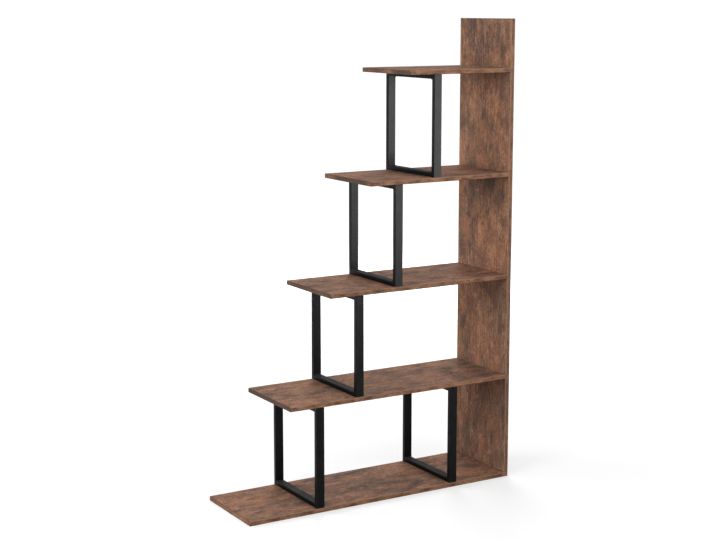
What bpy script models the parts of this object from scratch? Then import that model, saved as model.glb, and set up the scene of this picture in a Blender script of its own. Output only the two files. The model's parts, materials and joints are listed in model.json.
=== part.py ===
"""Staircase shelf: stepped boards held by one side panel and by welded frames of steel tube.

Metres, +Z up, front towards -Y, the steps climbing towards +X. The origin lies on the floor under
the middle of the footprint.
"""
import math

import bmesh
import bpy
from mathutils import Matrix, Vector

# Boards
BOARD = 0.015
DEPTH = 0.300
EDGE_ROUNDING = 0.0006
SHELVES = ("bottom", "second", "third", "fourth", "top")
TOP_SHELF_LENGTH = 0.405
STEP_LENGTH = 0.150
BAY_HEIGHT = 0.340
PANEL_RISE = 0.165

# Welded frames: how far each stands in from the left end of the shelf it carries, and how far
# the second frame of the bottom bay stays from the panel
TUBE_WIDTH = 0.030
TUBE_DEPTH = 0.015
TUBE_WALL = 0.0012
TUBE_ROUNDING = 0.0015
FRAME_INSET = 0.095
SECOND_FRAME_GAP = 0.205

# Pan-head screws that hold a frame's rails to the boards
SCREW_INSET = 0.036
SCREW_RADIUS = 0.0020
SCREW_BITE = 0.010
SCREW_POINT = 0.003
SCREW_HEAD_RADIUS = 0.0042
SCREW_HEAD_HEIGHT = 0.0026
SCREW_HEAD_RIM = 0.0008
SCREW_CROSS_SPAN = 0.0040
SCREW_CROSS_WIDTH = 0.0010
SCREW_CROSS_DEPTH = 0.0012

# Cam locks and their bolts, which pull the upper shelves against the panel
FIXING_INSET = 0.050
CAM_SETBACK = 0.034
CAM_RADIUS = 0.0072
CAM_FLOOR = 0.0030
CAM_CROSS_SPAN = 0.0080
CAM_CROSS_WIDTH = 0.0014
CAM_CROSS_DEPTH = 0.0014
BOLT_THREAD_RADIUS = 0.0025
BOLT_THREAD_LENGTH = 0.011
BOLT_COLLAR_RADIUS = 0.0036
BOLT_COLLAR_LENGTH = 0.0020
BOLT_SHANK_RADIUS = 0.0030
BOLT_NECK_RADIUS = 0.0020
BOLT_HEAD_RADIUS = 0.0033
BOLT_HEAD_LENGTH = 0.0034
BOLT_HEAD_FROM_AXIS = 0.0033

# Dowels beside the cams, and the two long screws up through the bottom shelf into the panel
DOWEL_INSET = 0.085
DOWEL_RADIUS = 0.0040
DOWEL_FLUTE = 0.0004
DOWEL_CHAMFER = 0.0012
DOWEL_LENGTH = 0.030
DOWEL_IN_FACE = 0.010
FOOT_SCREW_RADIUS = 0.0030
FOOT_SCREW_BITE = 0.034
FOOT_SCREW_POINT = 0.005
FOOT_SCREW_HEAD_RADIUS = 0.0048
FOOT_SCREW_HEAD_HEIGHT = 0.0030
FOOT_SCREW_SOCKET_RADIUS = 0.0022
FOOT_SCREW_SOCKET_DEPTH = 0.0018

# Clearance around every seated piece, and how far a cutter runs past the face it opens
FIT = 0.0003
OVERCUT = 0.002

# Facets
ROUNDING_STEPS = 2
SMALL_SIDES = 8
ROUND_SIDES = 12
CAM_SIDES = 16
SHARP_ANGLE = math.radians(40)

# Places that follow from the sizes above
LENGTHS = [TOP_SHELF_LENGTH + step * STEP_LENGTH for step in reversed(range(len(SHELVES)))]
OUTER_FACE = (LENGTHS[0] + BOARD) / 2
INNER_FACE = OUTER_FACE - BOARD
FRAME_HEIGHT = BAY_HEIGHT - 2 * FIT
UNDERSIDES = [level * (BOARD + BAY_HEIGHT) for level in range(len(SHELVES))]
PANEL_TOP = UNDERSIDES[-1] + BOARD + PANEL_RISE
SCREW_ROWS = (("front", SCREW_INSET - DEPTH / 2), ("rear", DEPTH / 2 - SCREW_INSET))
FIXING_ROWS = (("front", FIXING_INSET - DEPTH / 2), ("rear", DEPTH / 2 - FIXING_INSET))
DOWEL_ROWS = (("front", DOWEL_INSET - DEPTH / 2), ("rear", DEPTH / 2 - DOWEL_INSET))
POINTING_DOWN = Matrix.Rotation(math.pi, 4, "X")
POINTING_RIGHT = Matrix.Rotation(math.pi / 2, 4, "Y")


def clear_scene():
    for item in list(bpy.data.objects):
        bpy.data.objects.remove(item, do_unlink=True)


def make_material(name, colour, roughness, metallic=0.0):
    material = bpy.data.materials.new(name)
    material.use_nodes = True
    shader = material.node_tree.nodes["Principled BSDF"]
    shader.inputs["Base Color"].default_value = (*colour, 1.0)
    shader.inputs["Roughness"].default_value = roughness
    shader.inputs["Metallic"].default_value = metallic
    return material


def place(name, mesh, material, matrix=Matrix()):
    """Put a named piece in the scene; copies of a piece share its mesh."""
    if not mesh.materials:
        mesh.materials.append(material)
        mesh.shade_smooth()
        mesh.set_sharp_from_angle(angle=SHARP_ANGLE)
    item = bpy.data.objects.new(name, mesh)
    item.matrix_world = matrix
    bpy.context.scene.collection.objects.link(item)
    return item


def mesh_from(bm, name):
    mesh = bpy.data.meshes.new(name)
    bm.to_mesh(mesh)
    bm.free()
    return mesh


def box(name, low, high, rounding=0.0):
    """A block between two corners, with its edges broken when a rounding is given."""
    low, high = Vector(low), Vector(high)
    bm = bmesh.new()
    bmesh.ops.create_cube(bm, size=1.0)
    bmesh.ops.scale(bm, vec=high - low, verts=bm.verts)
    bmesh.ops.translate(bm, vec=(low + high) / 2, verts=bm.verts)
    if rounding:
        bmesh.ops.bevel(bm, geom=bm.edges[:], offset=rounding, segments=1, affect="EDGES")
    return mesh_from(bm, name)


def bars(name, spans):
    """Separate round bars, each given as (start, end, radius, sides)."""
    bm = bmesh.new()
    for start, end, radius, sides in spans:
        start, end = Vector(start), Vector(end)
        run = end - start
        matrix = Matrix.Translation((start + end) / 2) @ run.to_track_quat("Z", "Y").to_matrix().to_4x4()
        bmesh.ops.create_cone(bm, cap_ends=True, segments=sides, radius1=radius, radius2=radius,
                              depth=run.length, matrix=matrix)
    return mesh_from(bm, name)


def turned(name, profile, sides):
    """A solid turned about Z from (radius, height) points that begin and end on the axis."""
    bm = bmesh.new()
    verts = [bm.verts.new((radius, 0.0, height)) for radius, height in profile]
    edges = [bm.edges.new(pair) for pair in zip(verts, verts[1:])]
    bmesh.ops.spin(bm, geom=verts + edges, axis=(0.0, 0.0, 1.0), cent=(0.0, 0.0, 0.0),
                   angle=2 * math.pi, steps=sides, use_merge=True)
    bmesh.ops.remove_doubles(bm, verts=bm.verts, dist=1e-6)
    bmesh.ops.recalc_face_normals(bm, faces=bm.faces)
    return mesh_from(bm, name)


def prism(name, outline, low, high):
    """An outline of (x, y) points raised from one height to another."""
    bm = bmesh.new()
    base = bm.faces.new([bm.verts.new((x, y, low)) for x, y in outline])
    raised = bmesh.ops.extrude_face_region(bm, geom=[base])
    tops = [item for item in raised["geom"] if isinstance(item, bmesh.types.BMVert)]
    bmesh.ops.translate(bm, vec=(0.0, 0.0, high - low), verts=tops)
    bmesh.ops.recalc_face_normals(bm, faces=bm.faces)
    return mesh_from(bm, name)


def cross(name, span, width, low, high):
    """The cutter for a cross-shaped driver recess."""
    arm, half = span / 2, width / 2
    corner = ((arm, -half), (arm, half), (half, half))
    quarter_turns = [Matrix.Rotation(turn * math.pi / 2, 2) for turn in range(4)]
    outline = [tuple(turn @ Vector(point)) for turn in quarter_turns for point in corner]
    return prism(name, outline, low, high)


def carved(mesh, *cutters):
    """The mesh with every cutter taken out of it."""
    scene_objects = bpy.context.scene.collection.objects
    subject = bpy.data.objects.new(mesh.name, mesh)
    scene_objects.link(subject)
    tools = []
    for cutter in cutters:
        tool = bpy.data.objects.new(cutter.name, cutter)
        scene_objects.link(tool)
        tools.append(tool)
        modifier = subject.modifiers.new(cutter.name, "BOOLEAN")
        modifier.operation = "DIFFERENCE"
        modifier.solver = "EXACT"
        modifier.object = tool
    evaluated = subject.evaluated_get(bpy.context.evaluated_depsgraph_get())
    result = bpy.data.meshes.new_from_object(evaluated)
    for item in (subject, *tools):
        bpy.data.objects.remove(item, do_unlink=True)
    return result


def tube_section(margin, rounding):
    """The rounded outline of the tube, as (across, inward) points, drawn in by a margin."""
    half = TUBE_WIDTH / 2 - margin
    middle = TUBE_DEPTH / 2
    reach = middle - margin
    points = []
    for quarter, (side, way) in enumerate(((1, 1), (-1, 1), (-1, -1), (1, -1))):
        for step in range(ROUNDING_STEPS + 1):
            angle = (quarter + step / ROUNDING_STEPS) * math.pi / 2
            across = side * (half - rounding) + rounding * math.cos(angle)
            inward = middle + way * (reach - rounding) + rounding * math.sin(angle)
            points.append((across, inward))
    return points


def frame_skin(bm, margin, rounding):
    """One skin of the frame: the tube's outline carried round four mitred corners."""
    section = tube_section(margin, rounding)
    rings = []
    for side, way in ((1, 1), (-1, 1), (-1, -1), (1, -1)):
        ring = []
        for across, inward in section:
            deep = side * (DEPTH / 2 - inward)
            high = way * (FRAME_HEIGHT / 2 - inward)
            ring.append(bm.verts.new((across, deep, high)))
        rings.append(ring)
    faces = []
    for ring, following in zip(rings, rings[1:] + rings[:1]):
        for index in range(len(section)):
            after = (index + 1) % len(section)
            faces.append(bm.faces.new((ring[index], ring[after], following[after], following[index])))
    bmesh.ops.recalc_face_normals(bm, faces=faces)
    return faces


def frame_mesh():
    """A hollow welded frame about its own middle, with the screw holes through both rails."""
    bm = bmesh.new()
    frame_skin(bm, 0.0, TUBE_ROUNDING)
    hollow = frame_skin(bm, TUBE_WALL, max(TUBE_ROUNDING - TUBE_WALL, TUBE_WALL / 4))
    bmesh.ops.reverse_faces(bm, faces=hollow)
    reach = FRAME_HEIGHT / 2 + OVERCUT
    holes = [((0, row, -reach), (0, row, reach), SCREW_RADIUS + FIT, SMALL_SIDES) for _, row in SCREW_ROWS]
    return carved(mesh_from(bm, "frame"), bars("frame screw holes", holes))


def screw_mesh():
    """A pan-head screw pointing up, its head seated at height zero."""
    tip = TUBE_DEPTH + 2 * FIT + SCREW_BITE
    crown = SCREW_CROSS_SPAN / 2 + SCREW_HEAD_RIM / 2
    profile = (
        (0.0, tip),
        (SCREW_RADIUS, tip - SCREW_POINT),
        (SCREW_RADIUS, 0.0),
        (SCREW_HEAD_RADIUS, 0.0),
        (SCREW_HEAD_RADIUS, -SCREW_HEAD_RIM),
        (crown, -SCREW_HEAD_HEIGHT),
        (0.0, -SCREW_HEAD_HEIGHT),
    )
    recess = cross("screw recess", SCREW_CROSS_SPAN, SCREW_CROSS_WIDTH,
                   -SCREW_HEAD_HEIGHT - OVERCUT, SCREW_CROSS_DEPTH - SCREW_HEAD_HEIGHT)
    return carved(turned("screw", profile, SMALL_SIDES), recess)


def keyhole(radius, half_width, reach):
    """The outline of a round pocket with a straight mouth of a given width towards -X."""
    ends = math.pi - math.asin(half_width / radius)
    angles = [ends * (2 * step / CAM_SIDES - 1) for step in range(CAM_SIDES + 1)]
    arc = [(radius * math.cos(angle), radius * math.sin(angle)) for angle in angles]
    return [*arc, (-reach, half_width), (-reach, -half_width)]


def cam_mesh():
    """A locked cam standing on its slotted face, its bolt coming in from +X.

    The pocket takes the bolt's head through the wide mouth at -X. As the cam is turned, the bolt's
    neck runs along the narrow slot at +Y, and the wall beside the slot holds the head.
    """
    height = BOARD - CAM_FLOOR - 2 * FIT
    axis = BOARD / 2 - FIT
    head_room = BOLT_HEAD_RADIUS + FIT
    neck_room = BOLT_NECK_RADIUS + FIT
    pocket_radius = math.hypot(BOLT_HEAD_RADIUS, BOLT_HEAD_FROM_AXIS) + FIT
    past_side = CAM_RADIUS + OVERCUT
    body = turned("cam", ((0, 0), (CAM_RADIUS, 0), (CAM_RADIUS, height), (0, height)), CAM_SIDES)
    pocket = prism("cam pocket", keyhole(pocket_radius, head_room, past_side), axis - head_room, height + OVERCUT)
    slot = box("cam slot", (-past_side, -neck_room, axis - neck_room), (past_side, past_side, axis + neck_room))
    driver = cross("cam recess", CAM_CROSS_SPAN, CAM_CROSS_WIDTH, -OVERCUT, CAM_CROSS_DEPTH)
    return carved(body, pocket, slot, driver)


def bolt_mesh():
    """A cam bolt along Z: thread upwards from height zero at the panel's face, head at the far end."""
    head_seat = BOLT_HEAD_FROM_AXIS - CAM_SETBACK
    head_end = head_seat - BOLT_HEAD_LENGTH
    neck_start = CAM_RADIUS + 2 * FIT - CAM_SETBACK
    profile = (
        (0.0, BOLT_THREAD_LENGTH),
        (BOLT_THREAD_RADIUS, BOLT_THREAD_LENGTH - BOLT_THREAD_RADIUS / 2),
        (BOLT_THREAD_RADIUS, -FIT),
        (BOLT_COLLAR_RADIUS, -FIT),
        (BOLT_COLLAR_RADIUS, -BOLT_COLLAR_LENGTH),
        (BOLT_SHANK_RADIUS, -BOLT_COLLAR_LENGTH),
        (BOLT_SHANK_RADIUS, neck_start),
        (BOLT_NECK_RADIUS, neck_start),
        (BOLT_NECK_RADIUS, head_seat),
        (BOLT_HEAD_RADIUS, head_seat),
        (BOLT_HEAD_RADIUS, head_end + BOLT_HEAD_LENGTH / 2),
        (BOLT_NECK_RADIUS, head_end),
        (0.0, head_end),
    )
    return turned("cam bolt", profile, SMALL_SIDES)


def dowel_mesh():
    """A fluted dowel along Z, height zero at the face it is let into."""
    top = DOWEL_IN_FACE
    foot = top - DOWEL_LENGTH
    bm = bmesh.new()
    rings = []
    for height, inset in ((top, DOWEL_CHAMFER), (top - DOWEL_CHAMFER, 0.0), (foot + DOWEL_CHAMFER, 0.0),
                          (foot, DOWEL_CHAMFER)):
        ring = []
        for index in range(2 * SMALL_SIDES):
            radius = DOWEL_RADIUS - inset - DOWEL_FLUTE * (index % 2)
            angle = index * math.pi / SMALL_SIDES
            ring.append(bm.verts.new((radius * math.cos(angle), radius * math.sin(angle), height)))
        rings.append([bm.edges.new(pair) for pair in zip(ring, ring[1:] + ring[:1])])
        if inset:
            bm.faces.new(ring)
    for edges, following in zip(rings, rings[1:]):
        bmesh.ops.bridge_loops(bm, edges=edges + following)
    bmesh.ops.recalc_face_normals(bm, faces=bm.faces)
    return mesh_from(bm, "dowel")


def foot_screw_mesh():
    """A long screw pointing up from the bottom shelf's underside, its head let in flush."""
    tip = BOARD + FOOT_SCREW_BITE
    seat = FIT + FOOT_SCREW_HEAD_HEIGHT
    profile = (
        (0.0, tip),
        (FOOT_SCREW_RADIUS, tip - FOOT_SCREW_POINT),
        (FOOT_SCREW_RADIUS, seat),
        (FOOT_SCREW_HEAD_RADIUS, seat),
        (FOOT_SCREW_HEAD_RADIUS, FIT),
        (0.0, FIT),
    )
    socket = bars("foot screw socket", [((0, 0, -OVERCUT), (0, 0, FIT + FOOT_SCREW_SOCKET_DEPTH),
                                         FOOT_SCREW_SOCKET_RADIUS, 6)])
    return carved(turned("foot screw", profile, ROUND_SIDES), socket)


def frame_places():
    """The name, left face and bay of each frame, bays counted from the floor."""
    lefts = [INNER_FACE - length + FRAME_INSET for length in LENGTHS[1:]]
    second = INNER_FACE - SECOND_FRAME_GAP - TUBE_WIDTH
    places = [("bottom_bay_left", lefts[0], 0), ("bottom_bay_right", second, 0)]
    for bay, name in enumerate(("second_bay", "third_bay", "top_bay"), start=1):
        places.append((name, lefts[bay], bay))
    return [(name, left + TUBE_WIDTH / 2, bay) for name, left, bay in places]


def shelf_bores(level):
    """Bars to bore out of a shelf: those that run up and down, and those that run in from its end."""
    underside = UNDERSIDES[level]
    topside = underside + BOARD
    upright, level_bores = [], []
    for _, middle, bay in frame_places():
        for _, row in SCREW_ROWS:
            if bay == level:
                span = ((middle, row, topside - SCREW_BITE - FIT), (middle, row, topside + OVERCUT))
                upright.append((*span, SCREW_RADIUS + FIT, SMALL_SIDES))
            if bay == level - 1:
                span = ((middle, row, underside - OVERCUT), (middle, row, underside + SCREW_BITE + FIT))
                upright.append((*span, SCREW_RADIUS + FIT, SMALL_SIDES))
    if level == 0:
        panel_middle = INNER_FACE + BOARD / 2
        for _, row in DOWEL_ROWS:
            span = ((panel_middle, row, topside - DOWEL_IN_FACE - FIT), (panel_middle, row, topside + OVERCUT))
            upright.append((*span, DOWEL_RADIUS + FIT, ROUND_SIDES))
        return upright, level_bores
    middle_height = underside + BOARD / 2
    cam_axis = INNER_FACE - CAM_SETBACK
    for _, row in FIXING_ROWS:
        span = ((cam_axis, row, underside - OVERCUT), (cam_axis, row, topside - CAM_FLOOR))
        upright.append((*span, CAM_RADIUS + FIT, CAM_SIDES))
        span = ((cam_axis, row, middle_height), (INNER_FACE + OVERCUT, row, middle_height))
        level_bores.append((*span, BOLT_COLLAR_RADIUS + FIT, ROUND_SIDES))
    dowel_end = INNER_FACE - DOWEL_LENGTH + DOWEL_IN_FACE - FIT
    for _, row in DOWEL_ROWS:
        span = ((dowel_end, row, middle_height), (INNER_FACE + OVERCUT, row, middle_height))
        level_bores.append((*span, DOWEL_RADIUS + FIT, ROUND_SIDES))
    return upright, level_bores


def shelf_mesh(level):
    """One shelf. The bottom one runs on under the panel, and the others stop at its inner face."""
    end = OUTER_FACE if level == 0 else INNER_FACE - FIT
    low = (INNER_FACE - LENGTHS[level], -DEPTH / 2, UNDERSIDES[level])
    high = (end, DEPTH / 2, UNDERSIDES[level] + BOARD)
    board = box(SHELVES[level] + " shelf", low, high, EDGE_ROUNDING)
    upright, level_bores = shelf_bores(level)
    cutters = [bars("upright bores", upright)]
    if level_bores:
        cutters.append(bars("level bores", level_bores))
    if level == 0:
        cutters += foot_screw_bores()
    return carved(board, *cutters)


def foot_screw_bores():
    """The stepped holes for the long screws, cut from the bottom shelf."""
    middle = INNER_FACE + BOARD / 2
    shanks, heads = [], []
    for _, row in FIXING_ROWS:
        shanks.append(((middle, row, -OVERCUT), (middle, row, BOARD + OVERCUT),
                       FOOT_SCREW_RADIUS + FIT, ROUND_SIDES))
        heads.append(((middle, row, -OVERCUT), (middle, row, FOOT_SCREW_HEAD_HEIGHT + 2 * FIT),
                      FOOT_SCREW_HEAD_RADIUS + FIT, ROUND_SIDES))
    return [bars("foot screw shanks", shanks), bars("foot screw heads", heads)]


def panel_mesh():
    """The side panel, standing on the bottom shelf and bored for the fixings of all five boards."""
    low = (INNER_FACE, -DEPTH / 2, BOARD + FIT)
    high = (OUTER_FACE, DEPTH / 2, PANEL_TOP)
    middle = INNER_FACE + BOARD / 2
    bores = []
    for _, row in FIXING_ROWS:
        bores.append(((middle, row, 0), (middle, row, BOARD + FOOT_SCREW_BITE + FIT),
                      FOOT_SCREW_RADIUS + FIT, ROUND_SIDES))
    for _, row in DOWEL_ROWS:
        bores.append(((middle, row, 0), (middle, row, BOARD + DOWEL_LENGTH - DOWEL_IN_FACE + FIT),
                      DOWEL_RADIUS + FIT, ROUND_SIDES))
    for underside in UNDERSIDES[1:]:
        height = underside + BOARD / 2
        start = INNER_FACE - OVERCUT
        for _, row in FIXING_ROWS:
            bores.append(((start, row, height), (INNER_FACE + BOLT_THREAD_LENGTH + FIT, row, height),
                          BOLT_THREAD_RADIUS + FIT, SMALL_SIDES))
        for _, row in DOWEL_ROWS:
            bores.append(((start, row, height), (INNER_FACE + DOWEL_IN_FACE + FIT, row, height),
                          DOWEL_RADIUS + FIT, ROUND_SIDES))
    return carved(box("side panel", low, high, EDGE_ROUNDING), bars("panel bores", bores))


def place_boards(material):
    place("side_panel", panel_mesh(), material)
    for level, name in enumerate(SHELVES):
        place(name + "_shelf", shelf_mesh(level), material)


def place_frames(steel, screw_steel):
    frame, screw = frame_mesh(), screw_mesh()
    for name, middle, bay in frame_places():
        floor = UNDERSIDES[bay] + BOARD
        place(name + "_frame", frame, steel, Matrix.Translation((middle, 0, floor + BAY_HEIGHT / 2)))
        for row_name, row in SCREW_ROWS:
            base = Matrix.Translation((middle, row, floor + TUBE_DEPTH + 2 * FIT))
            head = Matrix.Translation((middle, row, floor + BAY_HEIGHT - TUBE_DEPTH - 2 * FIT))
            place(f"{name}_base_{row_name}_screw", screw, screw_steel, base @ POINTING_DOWN)
            place(f"{name}_head_{row_name}_screw", screw, screw_steel, head)


def place_shelf_fixings(zinc, bolt_steel, dowel_wood):
    cam, bolt, dowel = cam_mesh(), bolt_mesh(), dowel_mesh()
    for name, underside in zip(SHELVES[1:], UNDERSIDES[1:]):
        middle_height = underside + BOARD / 2
        for row_name, row in FIXING_ROWS:
            seat = Matrix.Translation((INNER_FACE - CAM_SETBACK, row, underside + FIT))
            face = Matrix.Translation((INNER_FACE, row, middle_height))
            place(f"{name}_shelf_{row_name}_cam", cam, zinc, seat)
            place(f"{name}_shelf_{row_name}_cam_bolt", bolt, bolt_steel, face @ POINTING_RIGHT)
        for row_name, row in DOWEL_ROWS:
            face = Matrix.Translation((INNER_FACE, row, middle_height))
            place(f"{name}_shelf_{row_name}_dowel", dowel, dowel_wood, face @ POINTING_RIGHT)
    middle = INNER_FACE + BOARD / 2
    foot_screw = foot_screw_mesh()
    for row_name, row in FIXING_ROWS:
        place(f"panel_foot_{row_name}_screw", foot_screw, bolt_steel, Matrix.Translation((middle, row, 0)))
    for row_name, row in DOWEL_ROWS:
        face = Matrix.Translation((middle, row, BOARD))
        place(f"panel_foot_{row_name}_dowel", dowel, dowel_wood, face @ POINTING_DOWN)


clear_scene()
place_boards(make_material("rustic brown board", (0.17, 0.10, 0.07), 0.55))
place_frames(make_material("black powder coat", (0.02, 0.02, 0.02), 0.45),
             make_material("blackened screw steel", (0.05, 0.05, 0.05), 0.35, 1.0))
place_shelf_fixings(make_material("cast zinc", (0.55, 0.55, 0.56), 0.40, 1.0),
                    make_material("zinc plated steel", (0.65, 0.65, 0.66), 0.30, 1.0),
                    make_material("beech", (0.60, 0.42, 0.25), 0.70))
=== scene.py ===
"""Dresses the staircase shelf: printed wood boards, powder-coated frames, fittings, light and camera."""

import json

import bpy
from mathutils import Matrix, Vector

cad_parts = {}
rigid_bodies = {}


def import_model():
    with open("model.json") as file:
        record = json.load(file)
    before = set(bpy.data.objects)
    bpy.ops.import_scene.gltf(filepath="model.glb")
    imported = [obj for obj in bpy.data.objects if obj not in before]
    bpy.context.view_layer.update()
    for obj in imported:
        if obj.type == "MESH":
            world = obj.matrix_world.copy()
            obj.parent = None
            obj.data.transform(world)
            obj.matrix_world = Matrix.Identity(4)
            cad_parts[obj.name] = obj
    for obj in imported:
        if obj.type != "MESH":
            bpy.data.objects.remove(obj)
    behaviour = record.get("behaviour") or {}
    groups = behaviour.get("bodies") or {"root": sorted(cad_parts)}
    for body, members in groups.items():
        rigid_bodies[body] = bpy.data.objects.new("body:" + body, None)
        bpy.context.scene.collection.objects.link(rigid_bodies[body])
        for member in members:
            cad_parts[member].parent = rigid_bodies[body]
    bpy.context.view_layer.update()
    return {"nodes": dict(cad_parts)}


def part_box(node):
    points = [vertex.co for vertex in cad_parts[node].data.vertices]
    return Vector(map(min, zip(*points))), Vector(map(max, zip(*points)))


# The boards, from the foot up: each reads its print from another part of the pattern.
BOARDS = ("bottom_shelf", "second_shelf", "third_shelf", "fourth_shelf", "top_shelf", "side_panel")
UPRIGHT_BOARDS = ("side_panel",)
SEED_STRIDE = Vector((1.37, 0.71, 0.43))   # step between two boards' places in the pattern
EDGE_OFFSET = Vector((0.53, 0.19, 0.31))   # the edge bands are cut from another roll

# The print of the shelves and of the upright panel: how much its streaks and veins weigh in the tone,
# how dark its burnt blotches are, how far the edge band covers it, and which side of the board has a
# painted highlight along its long arrises: 1 is a shelf's top, and -1 the side of the panel that the
# shelves meet.
SHELF_PRINT = {"streaks": 2.8, "veins": 1.8, "burn": 0.8, "band": 0.8, "highlit_side": 1.0}
PANEL_PRINT = {"streaks": 2.3, "veins": 1.5, "burn": 0.67, "band": 0.45, "highlit_side": -1.0}
BROAD_WEIGHT = 0.8        # of the broad clouds in the tone
PATCH_WEIGHT = 1.7        # of the patches in the tone
MIDDLE_TONE = 0.5         # of the ramp of browns
GRAIN_WANDER = 0.008      # metres that the grain wanders to each side
FACE_TURN = (0.55, 0.75)  # a normal's share along an axis, from looking elsewhere to looking that way
SIDE_BLEND = 0.002        # metres from the board's middle over which the side with the painted arris highlight begins
BOARD_GLOSS = 0.05

# The steel frames' tube, as the CAD model has it, and its coat.
TUBE_DEPTH = 0.015
CORNER_FADE = 0.0012      # metres past the tube's depth over which a weld's ridge runs out
COAT_GLOSS = 0.06

# A noise's mean, and the range that holds most of its values.
NOISE_MEAN = 0.5
NOISE_RANGE = (0.3, 0.7)

# The Mix node's sockets: the factor and the pair that is mixed, and the result.
MIX_COLOUR_SOCKETS, MIX_COLOUR_RESULT = (0, 6, 7), 2
MIX_VECTOR_SOCKETS, MIX_VECTOR_RESULT = (0, 4, 5), 1

# The backdrop: white to the eye, while the light that it gives is the ambient share.
WHITE = (1.0, 1.0, 1.0, 1.0)
AMBIENT = 0.25
FLOOR_PAPER = (0.5, 0.5, 0.5, 1.0)
FLOOR_REACH = 30.0        # half the floor's side
FLOOR_DROP = 0.0005       # the floor lies this far under the object
GLOW_REACH = (0.8, 4.5)   # metres from the middle, from the floor's least glow to its most
GLOW_LEVEL = (0.47, 0.96)

# The camera of the photograph.
CAMERA_PLACE = Vector((-2.5531, -4.2287, 1.6353))
CAMERA_AIM = Vector((-0.0177, 0.0, 0.8166))
CAMERA_LENS = 74.82       # mm
SENSOR_WIDTH = 36.0       # mm
CAMERA_SHIFT = -0.021     # of the picture's width: the frame is moved down by 15 pixels


def clear_scene():
    """Empties the start-up scene."""
    for thing in list(bpy.data.objects):
        bpy.data.objects.remove(thing)


class Nodes:
    """Short calls for building a node tree, n below; most add a node and return its output socket."""

    def __init__(self, tree):
        self.tree = tree
        tree.nodes.clear()

    def feed(self, socket, value):
        """Links an input to another socket, or gives it a fixed value."""
        if isinstance(value, bpy.types.NodeSocket):
            self.tree.links.new(value, socket)
        else:
            socket.default_value = value

    def add(self, kind, inputs=None, output=0, **settings):
        """A node of any kind; inputs and output go by name or number."""
        node = self.tree.nodes.new(kind)
        for name, value in settings.items():
            setattr(node, name, value)
        for key, value in (inputs or {}).items():
            self.feed(node.inputs[key], value)
        return node.outputs[output]

    def close(self, shader, kind="ShaderNodeOutputMaterial"):
        """Leads a shader to the tree's output node."""
        output = self.tree.nodes.new(kind)
        self.tree.links.new(shader, output.inputs["Surface"])

    def place(self):
        """The point in object coordinates, which are the CAD model's own."""
        return self.add("ShaderNodeTexCoord", output="Object")

    def normal(self):
        """The surface's normal in object coordinates."""
        return self.add("ShaderNodeTexCoord", output="Normal")

    def math(self, operation, *values):
        return self.add("ShaderNodeMath", dict(enumerate(values)), operation=operation)

    def vector(self, operation, *values):
        return self.add("ShaderNodeVectorMath", dict(enumerate(values)), operation=operation)

    def split(self, vector):
        node = self.tree.nodes.new("ShaderNodeSeparateXYZ")
        self.feed(node.inputs[0], vector)
        return node.outputs[:]

    def join(self, x, y, z):
        return self.add("ShaderNodeCombineXYZ", {0: x, 1: y, 2: z})

    def noise(self, vector, stretch, detail, roughness=0.55, offset=(0.0, 0.0, 0.0)):
        """Noise with its own count of features to the metre along each axis."""
        scaled = self.vector("MULTIPLY_ADD", vector, stretch, offset)
        inputs = {"Vector": scaled, "Scale": 1.0, "Detail": detail, "Roughness": roughness}
        return self.add("ShaderNodeTexNoise", inputs)

    def remap(self, shape, value, low, high, to_low, to_high):
        inputs = {"Value": value, "From Min": low, "From Max": high, "To Min": to_low, "To Max": to_high}
        return self.add("ShaderNodeMapRange", inputs, interpolation_type=shape)

    def step(self, value, low, high, to_low=0.0, to_high=1.0):
        """A smooth step of value from low to high."""
        return self.remap("SMOOTHSTEP", value, low, high, to_low, to_high)

    def spread(self, value, low, high, to_low, to_high):
        """A straight map of value from low..high, held at its ends."""
        return self.remap("LINEAR", value, low, high, to_low, to_high)

    def sway(self, noise, to_low, to_high):
        """A straight map of a noise's usual range."""
        return self.spread(noise, *NOISE_RANGE, to_low, to_high)

    def mix(self, factor, first, second, blend="MIX"):
        """Mixes two colours."""
        inputs = dict(zip(MIX_COLOUR_SOCKETS, (factor, first, second)))
        return self.add("ShaderNodeMix", inputs, MIX_COLOUR_RESULT, data_type="RGBA", blend_type=blend)

    def mix_vectors(self, factor, first, second):
        inputs = dict(zip(MIX_VECTOR_SOCKETS, (factor, first, second)))
        return self.add("ShaderNodeMix", inputs, MIX_VECTOR_RESULT, data_type="VECTOR")

    def ramp(self, value, *stops):
        """A colour ramp of (place, colour) stops."""
        node = self.tree.nodes.new("ShaderNodeValToRGB")
        elements = node.color_ramp.elements
        while len(elements) < len(stops):
            elements.new(1.0)
        for element, (place, colour) in zip(elements, stops):
            element.position = place
            element.color = colour
        self.feed(node.inputs[0], value)
        return node.outputs[0]

    def bump(self, height, distance, strength, normal=None):
        """A normal from a height; distance is the height's full size in metres."""
        inputs = {"Strength": strength, "Distance": distance, "Height": height}
        if normal is not None:
            inputs["Normal"] = normal
        return self.add("ShaderNodeBump", inputs)


def srgb(red, green, blue):
    """A linear colour from 8-bit screen values."""
    def linear(value):
        value /= 255.0
        return value / 12.92 if value <= 0.04045 else ((value + 0.055) / 1.055) ** 2.4
    return (linear(red), linear(green), linear(blue), 1.0)


def new_material(name):
    """An empty node material and the calls that fill it."""
    material = bpy.data.materials.new(name)
    material.use_nodes = True
    return material, Nodes(material.node_tree)


def surface(n, colour, roughness, normal, **constants):
    """Ends a tree in a principled shader; constants go straight on the shader's own sockets."""
    inputs = {"Base Color": colour, "Roughness": roughness, "Normal": normal}
    for name, value in constants.items():
        inputs[name.replace("_", " ")] = value
    n.close(n.add("ShaderNodeBsdfPrincipled", inputs))


def dress(names, material):
    """Gives CAD nodes a material."""
    for name in names:
        for slot in frame["nodes"][name].material_slots:
            slot.material = material


def swapped(n, vector):
    """A vector with its x and z exchanged."""
    x, y, z = n.split(vector)
    return n.join(z, y, x)


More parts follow.
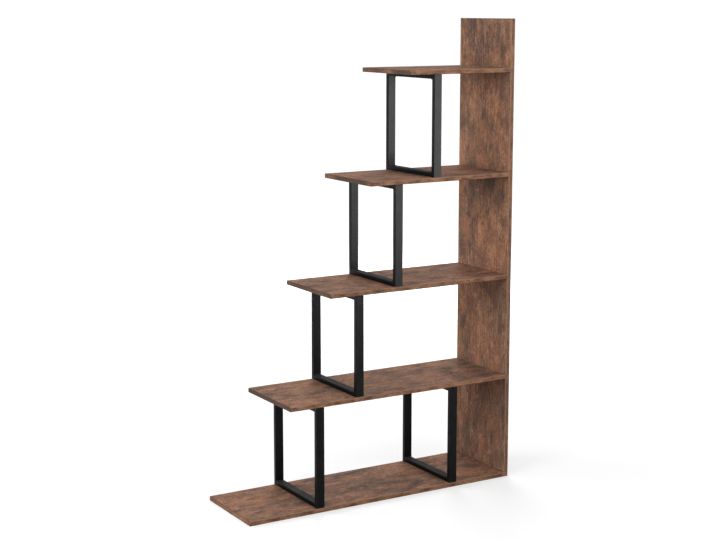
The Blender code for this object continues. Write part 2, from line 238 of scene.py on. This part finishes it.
def faces_inside(n, point, low, high):
    """How far a point lies inside each pair of a box's faces, as three sockets."""
    centre, half = (low + high) / 2, (high - low) / 2
    offset = n.vector("ABSOLUTE", n.vector("SUBTRACT", point, centre))
    return n.split(n.vector("SUBTRACT", half, offset))


def arris_distance(n, inside):
    """How far a point of a box's skin is from the nearest arris: the middle one of the three."""
    x, y, z = inside
    least, most = n.math("MINIMUM", x, y), n.math("MAXIMUM", x, y)
    return n.math("MAXIMUM", least, n.math("MINIMUM", most, z))


def band_colour(n, point):
    """The edge band: plainer than the print, with soft clouds and dark spots."""
    cloud = n.noise(point, (24.0, 60.0, 60.0), 3.0, 0.6, (6.6, 4.4, 1.8))
    band = n.ramp(cloud, (0.34, srgb(106, 73, 55)), (0.5, srgb(149, 105, 78)), (0.66, srgb(178, 129, 96)))
    spot = n.noise(point, (70.0, 170.0, 170.0), 2.0, 0.5, (0.6, 3.9, 7.4))
    return n.mix(n.step(spot, 0.56, 0.70, 0.0, 0.7), band, srgb(76, 55, 45))


def wear_and_highlight_arrises(n, colour, point, inside, on_highlit_side):
    """Draws a dark, nicked line along every arris, and paints a light highlight along the long arrises of
    one side, the side that faces the light.
    """
    nick = n.noise(point, (70.0, 240.0, 240.0), 2.0)
    arris = arris_distance(n, inside)
    line = n.math("MULTIPLY", n.step(arris, 0.0017, 0.0006), n.step(nick, 0.30, 0.52, 0.3, 0.8))
    colour = n.mix(line, colour, srgb(60, 47, 40))
    worn = n.math("MULTIPLY", n.step(arris, 0.0007, 0.0002), n.step(nick, 0.60, 0.70, 0.0, 0.8))
    colour = n.mix(worn, colour, srgb(172, 140, 115))

    # Painted highlight: the long arrises of one side are drawn lighter, as a rounded arris catching the
    # light would look.
    _, across, through = inside
    long_arris = n.math("MAXIMUM", across, through)
    arris_highlight = n.math("MULTIPLY", n.step(long_arris, 0.0034, 0.0012), n.step(nick, 0.30, 0.60, 0.25, 0.75))
    return n.mix(n.math("MULTIPLY", arris_highlight, on_highlit_side), colour, srgb(168, 134, 110))


def board_material(name, seed):
    """A rustic printed board: brown with burnt blotches, streaks along the grain and banded edges."""
    material, n = new_material(name + "_print")
    look = SHELF_PRINT
    place, normal = n.place(), n.normal()
    low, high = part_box(name)
    if name in UPRIGHT_BOARDS:
        look = PANEL_PRINT
        place, normal = swapped(n, place), swapped(n, normal)
        low, high = low.zyx, high.zyx

    # From here x runs along the grain, y across it and z through the board.
    x, y, z = n.split(place)
    facing_x, _, facing_z = n.split(n.vector("ABSOLUTE", normal))
    on_end = n.step(facing_x, *FACE_TURN)
    on_edge = n.step(facing_z, *reversed(FACE_TURN))
    middle, half_blend = (low.z + high.z) / 2, look["highlit_side"] * SIDE_BLEND
    on_highlit_side = n.step(z, middle - half_blend, middle + half_blend)

    # The band on an end runs across the board, and every band is cut from another place.
    along_edge = n.mix_vectors(on_end, place, n.join(y, x, z))
    band_shift = n.vector("MULTIPLY", tuple(EDGE_OFFSET), n.join(on_edge, on_edge, on_edge))
    point = n.vector("ADD", along_edge, n.vector("ADD", band_shift, tuple(SEED_STRIDE * seed)))

    # The grain wanders a little across the board.
    wander = n.spread(n.noise(point, (3.0, 8.0, 8.0), 1.0), 0.0, 1.0, -GRAIN_WANDER, GRAIN_WANDER)
    point = n.vector("ADD", point, n.join(0.0, wander, wander))

    broad = n.noise(point, (5.0, 10.0, 10.0), 2.0, 0.5, (8.3, 2.4, 6.1))
    patch = n.noise(point, (20.0, 31.0, 31.0), 5.0, 0.68)
    streak = n.noise(point, (105.0, 210.0, 210.0), 4.0, 0.62, (1.3, 8.8, 4.7))
    burnt = n.noise(point, (14.0, 25.0, 25.0), 6.0, 0.7, (3.1, 7.7, 1.9))
    warm = n.noise(point, (17.0, 29.0, 29.0), 5.0, 0.68, (5.9, 4.2, 9.6))
    olive = n.noise(point, (15.0, 34.0, 34.0), 5.0, 0.66, (9.4, 1.2, 3.8))
    vein = n.noise(point, (11.0, 270.0, 270.0), 2.0, 0.6, (7.2, 6.6, 0.9))
    fibre = n.noise(point, (60.0, 900.0, 900.0), 2.0, 0.6, (6.4, 3.3, 2.2))
    pore = n.noise(point, (95.0, 620.0, 620.0), 1.0, 0.5, (2.7, 5.5, 8.1))

    # The brown's tone is a weighted sum of noises, moved to the middle of the ramp.
    tone = n.math("MULTIPLY_ADD", patch, PATCH_WEIGHT, n.math("MULTIPLY", broad, BROAD_WEIGHT))
    tone = n.math("MULTIPLY_ADD", streak, look["streaks"], tone)
    tone = n.math("MULTIPLY_ADD", vein, look["veins"], tone)
    weights = PATCH_WEIGHT + BROAD_WEIGHT + look["streaks"] + look["veins"]
    tone = n.math("SUBTRACT", tone, NOISE_MEAN * weights - MIDDLE_TONE)
    colour = n.ramp(tone, (0.0, srgb(94, 71, 59)), (0.28, srgb(113, 82, 66)), (0.52, srgb(130, 95, 76)),
                    (0.78, srgb(147, 110, 88)), (1.0, srgb(164, 127, 104)))

    # Patches lean to orange, violet or olive.
    is_warm = n.step(warm, 0.51, 0.62, 0.0, 0.65)
    colour = n.mix(is_warm, colour, srgb(148, 104, 78))
    is_violet = n.step(warm, 0.47, 0.36, 0.0, 0.6)
    colour = n.mix(is_violet, colour, srgb(116, 86, 79))
    is_olive = n.step(olive, 0.53, 0.64, 0.0, 0.5)
    colour = n.mix(is_olive, colour, srgb(108, 93, 74))

    # The broad clouds are greyer where they are dark and redder where they are light.
    tint = n.ramp(broad, (0.34, (0.93, 1.005, 1.05, 1.0)), (0.66, (1.06, 0.98, 0.94, 1.0)))
    colour = n.mix(1.0, colour, tint, "MULTIPLY")

    # Burnt blotches gather in the dark clouds and veins; fine fibres and pores lie over everything.
    burnt = n.math("ADD", burnt, n.sway(broad, 0.06, -0.06))
    burnt = n.math("ADD", burnt, n.sway(vein, 0.04, -0.04))
    is_burnt = n.step(burnt, 0.45, 0.68, 0.0, look["burn"])
    colour = n.mix(is_burnt, colour, srgb(74, 64, 58))
    shade = n.sway(fibre, 0.86, 1.14)
    colour = n.mix(1.0, colour, n.join(shade, shade, shade), "MULTIPLY")
    is_pore = n.math("MULTIPLY", n.step(pore, 0.60, 0.70, 0.0, 0.6), n.step(on_edge, 1.0, 0.0))
    colour = n.mix(is_pore, colour, srgb(58, 46, 40))

    # The edges show their band, and the ends are burnt darker, each to its own degree.
    colour = n.mix(n.math("MULTIPLY", on_edge, look["band"]), colour, band_colour(n, point))
    end_tone = n.noise(point, (5.0, 5.0, 5.0), 1.0, 0.5, (4.9, 0.7, 8.8))
    end_burn = n.math("MULTIPLY", on_end, n.step(end_tone, 0.36, 0.64, 0.3, 1.0))
    colour = n.mix(end_burn, colour, srgb(76, 61, 53))
    inside = faces_inside(n, place, low, high)
    colour = wear_and_highlight_arrises(n, colour, point, inside, on_highlit_side)

    rough = n.math("ADD", n.sway(patch, 0.60, 0.70), n.math("MULTIPLY", is_burnt, 0.12))
    relief = n.math("ADD", n.math("MULTIPLY", fibre, 0.45), n.math("MULTIPLY", streak, 0.8))
    relief = n.math("SUBTRACT", relief, n.math("MULTIPLY", is_pore, 1.2))
    surface(n, colour, rough, n.bump(relief, 0.0003, 0.5), Specular_IOR_Level=BOARD_GLOSS)
    return material


def frame_material(name):
    """Black powder coat over a mitred and welded tube frame."""
    material, n = new_material(name + "_powder_coat")
    place = n.place()
    low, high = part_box(name)
    inside = faces_inside(n, place, low, high)
    _, across, up = inside
    arris = arris_distance(n, inside)

    peel = n.noise(place, (620.0, 620.0, 620.0), 2.0, 0.5)
    grit = n.noise(place, (2400.0, 2400.0, 2400.0), 1.0, 0.5)
    mottle = n.noise(place, (26.0, 26.0, 26.0), 3.0, 0.6)
    rub = n.noise(place, (90.0, 90.0, 40.0), 3.0, 0.6, (4.0, 2.0, 7.0))

    colour = n.ramp(mottle, (0.3, srgb(7, 7, 8)), (0.5, srgb(10, 10, 11)), (0.7, srgb(15, 15, 16)))
    speck = n.step(grit, 0.66, 0.74, 0.0, 0.35)
    colour = n.mix(speck, colour, srgb(40, 41, 42))
    # Lighter arrises: worn coat, and partly a painted highlight where a rounded arris would catch the
    # light.
    worn = n.math("MULTIPLY", n.step(arris, 0.0016, 0.0003), n.step(rub, 0.42, 0.66, 0.1, 0.7))
    colour = n.mix(worn, colour, srgb(62, 63, 65))

    # The faces that look up are paler and rougher, more so where the mottle is light.
    _, _, upward = n.split(n.normal())
    pale_upward = n.math("MULTIPLY", n.step(upward, 0.5, 0.9), n.step(mottle, 0.2, 0.7, 0.6, 1.0))
    colour = n.mix(pale_upward, colour, srgb(47, 47, 49))

    # The ground weld shows through the coat as a faint ridge along each mitre.
    off_mitre = n.math("ABSOLUTE", n.math("SUBTRACT", across, up))
    at_corner = n.step(n.math("MAXIMUM", across, up), TUBE_DEPTH + CORNER_FADE, TUBE_DEPTH)
    ripple = n.noise(place, (260.0, 260.0, 260.0), 2.0)
    weld = n.math("MULTIPLY", n.step(off_mitre, 0.0022, 0.0002), at_corner)
    weld = n.math("MULTIPLY", weld, n.sway(ripple, 0.5, 1.0))

    rough = n.math("ADD", n.sway(mottle, 0.29, 0.36), n.math("MULTIPLY", speck, 0.2))
    rough = n.math("MULTIPLY_ADD", pale_upward, 0.5, rough)
    relief = n.bump(n.math("ADD", peel, n.math("MULTIPLY", grit, 0.4)), 0.00008, 0.5)
    relief = n.bump(weld, 0.0004, 0.8, relief)
    surface(n, colour, rough, relief, Specular_IOR_Level=COAT_GLOSS)
    return material


def metal_material(name, dark, bright, worn, metallic, roughness, brushed):
    """A plated or blackened steel or zinc fitting, with brushing, stains and worn spots."""
    material, n = new_material(name)
    place = n.place()
    stain = n.noise(place, (180.0, 180.0, 180.0), 4.0, 0.6)
    brush = n.noise(place, brushed, 2.0, 0.5, (2.0, 5.0, 3.0))
    rub = n.noise(place, (420.0, 420.0, 420.0), 3.0, 0.6, (7.0, 1.0, 4.0))
    colour = n.ramp(stain, (0.32, dark), (0.62, bright))
    is_worn = n.step(rub, 0.58, 0.70, 0.0, 0.6)
    colour = n.mix(is_worn, colour, worn)
    rough = n.sway(brush, roughness - 0.07, roughness + 0.07)
    rough = n.math("ADD", rough, n.math("MULTIPLY", is_worn, -0.06))
    relief = n.bump(n.math("ADD", brush, n.math("MULTIPLY", stain, 0.5)), 0.00006, 0.6)
    surface(n, colour, rough, relief, Metallic=metallic)
    return material


def dowel_material():
    """Turned beech: pale, with fine flecks along the peg."""
    material, n = new_material("dowel_beech")
    place = n.place()
    grain = n.noise(place, (60.0, 700.0, 700.0), 3.0, 0.6)
    fleck = n.noise(place, (400.0, 1500.0, 1500.0), 1.0, 0.5, (3.0, 1.0, 2.0))
    colour = n.ramp(grain, (0.3, srgb(186, 148, 108)), (0.55, srgb(208, 172, 130)),
                    (0.75, srgb(222, 190, 150)))
    is_fleck = n.step(fleck, 0.60, 0.70, 0.0, 0.5)
    colour = n.mix(is_fleck, colour, srgb(150, 106, 70))
    rough = n.sway(grain, 0.6, 0.75)
    surface(n, colour, rough, n.bump(n.math("ADD", grain, is_fleck), 0.0002, 0.5))
    return material


def dress_object():
    """Gives every CAD node its material; each board and each frame has one of its own."""
    names = list(frame["nodes"])

    def ending(suffix):
        return [name for name in names if name.endswith(suffix)]

    for seed, name in enumerate(BOARDS, start=1):
        dress([name], board_material(name, seed))
    for name in ending("_frame"):
        dress([name], frame_material(name))

    black_oxide = metal_material(
        "screw_black_oxide", srgb(16, 16, 17), srgb(30, 30, 32), srgb(92, 92, 94),
        metallic=0.6, roughness=0.42, brushed=(900.0, 900.0, 200.0))
    cast_zinc = metal_material(
        "cam_zinc_cast", srgb(140, 142, 146), srgb(186, 188, 192), srgb(214, 216, 218),
        metallic=1.0, roughness=0.38, brushed=(500.0, 500.0, 1600.0))
    yellow_zinc = metal_material(
        "bolt_yellow_zinc", srgb(150, 142, 124), srgb(198, 190, 170), srgb(220, 214, 200),
        metallic=1.0, roughness=0.32, brushed=(300.0, 1500.0, 1500.0))
    foot_screws = [name for name in ending("_screw") if name.startswith("panel_foot_")]
    frame_screws = [name for name in ending("_screw") if name not in foot_screws]
    dress(frame_screws, black_oxide)
    dress(ending("_cam"), cast_zinc)
    dress(foot_screws + ending("_cam_bolt"), yellow_zinc)
    dress(ending("_dowel"), dowel_material())


def seen_directly(n):
    """1 where the camera, a mirror or glass looks at the backdrop, and 0 where light gathers."""
    path = n.tree.nodes.new("ShaderNodeLightPath")
    seen = n.math("MAXIMUM", path.outputs["Is Camera Ray"], path.outputs["Is Glossy Ray"])
    return n.math("MAXIMUM", seen, path.outputs["Is Transmission Ray"])


def make_world():
    """A white backdrop that lights the object only by its ambient share."""
    world = bpy.data.worlds.new("studio")
    bpy.context.scene.world = world
    world.use_nodes = True
    n = Nodes(world.node_tree)
    strength = n.spread(seen_directly(n), 0.0, 1.0, AMBIENT, 1.0)
    background = n.add("ShaderNodeBackground", {"Color": WHITE, "Strength": strength})
    n.close(background, "ShaderNodeOutputWorld")


def make_floor():
    """A pale sheet under the object: white to the eye, with part of its tone left to light and shadow."""
    mesh = bpy.data.meshes.new("floor")
    reach = FLOOR_REACH
    corners = [(-reach, -reach, 0.0), (reach, -reach, 0.0), (reach, reach, 0.0), (-reach, reach, 0.0)]
    mesh.from_pydata(corners, [], [(0, 1, 2, 3)])
    floor = bpy.data.objects.new("floor", mesh)
    floor.location.z = -FLOOR_DROP
    bpy.context.scene.collection.objects.link(floor)
    material, n = new_material("floor_paper")
    away = n.add("ShaderNodeVectorMath", {0: n.place()}, "Value", operation="LENGTH")
    strength = n.math("MULTIPLY", seen_directly(n), n.step(away, *GLOW_REACH, *GLOW_LEVEL))
    paper = n.add("ShaderNodeBsdfDiffuse", {"Color": FLOOR_PAPER})
    glow = n.add("ShaderNodeEmission", {"Color": WHITE, "Strength": strength})
    n.close(n.add("ShaderNodeAddShader", {0: paper, 1: glow}))
    mesh.materials.append(material)


def turned_to(place, aim):
    """The rotation of a lamp or camera at place that looks at aim."""
    return (Vector(aim) - Vector(place)).to_track_quat("-Z", "Y").to_euler()


def softbox(name, place, aim, size, power, matt=True, gloss=True):
    """A rectangle of light, in metres and watts; matt and gloss say which kind of surface it shows on."""
    data = bpy.data.lights.new(name, "AREA")
    data.shape = "RECTANGLE"
    data.size, data.size_y = size
    data.energy = power
    light = bpy.data.objects.new(name, data)
    light.location = place
    light.rotation_euler = turned_to(place, aim)
    light.visible_camera = False
    light.visible_diffuse = matt
    light.visible_glossy = gloss
    bpy.context.scene.collection.objects.link(light)


def make_lights():
    """Soft studio light, most of it from above, from the left and from behind."""
    softbox("overhead", (0.0, 0.0, 6.5), (0.0, 0.0, 0.8), (3.0, 3.0), 90.0)
    softbox("left", (-3.7, -1.3, 1.95), (0.3, 0.0, 1.0), (2.0, 1.6), 84.0)
    softbox("left_back", (-3.2, 2.2, 1.6), (0.3, 0.0, 1.0), (2.0, 2.0), 98.0, gloss=False)
    softbox("right", (3.8, 0.8, 1.3), (0.5, 0.0, 0.8), (2.4, 2.0), 30.0)
    # A small lamp in front, above the upper shelves, for the front edges.
    softbox("brow", (0.2, -2.0, 2.2), (0.1, 0.0, 1.2), (1.0, 0.7), 21.0)
    # From behind on the right, so that the panel and the frames shade the shelves on their left.
    softbox("back_right", (2.4, 4.2, 2.1), (0.0, 0.0, 0.7), (2.5, 1.6), 175.0, gloss=False)
    # A low strip behind that only the gloss of the shelves' tops picks up.
    softbox("gleam", (2.4, 4.2, 0.95), (0.0, 0.0, 0.7), (2.5, 0.8), 22.0, matt=False)
    # A white card that only the gloss of the upper fronts picks up.
    softbox("card", (1.85, -2.6, 1.25), (0.1, 0.0, 1.15), (1.8, 1.9), 195.0, matt=False)


def make_camera():
    """The photograph's camera."""
    data = bpy.data.cameras.new("photo_camera")
    data.sensor_width = SENSOR_WIDTH
    data.lens = CAMERA_LENS
    data.shift_y = CAMERA_SHIFT
    camera = bpy.data.objects.new("photo_camera", data)
    camera.location = CAMERA_PLACE
    camera.rotation_euler = turned_to(CAMERA_PLACE, CAMERA_AIM)
    bpy.context.scene.collection.objects.link(camera)
    bpy.context.scene.camera = camera


clear_scene()
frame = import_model()
dress_object()
make_world()
make_floor()
make_lights()
make_camera()
bpy.context.scene.view_settings.view_transform = "Standard"
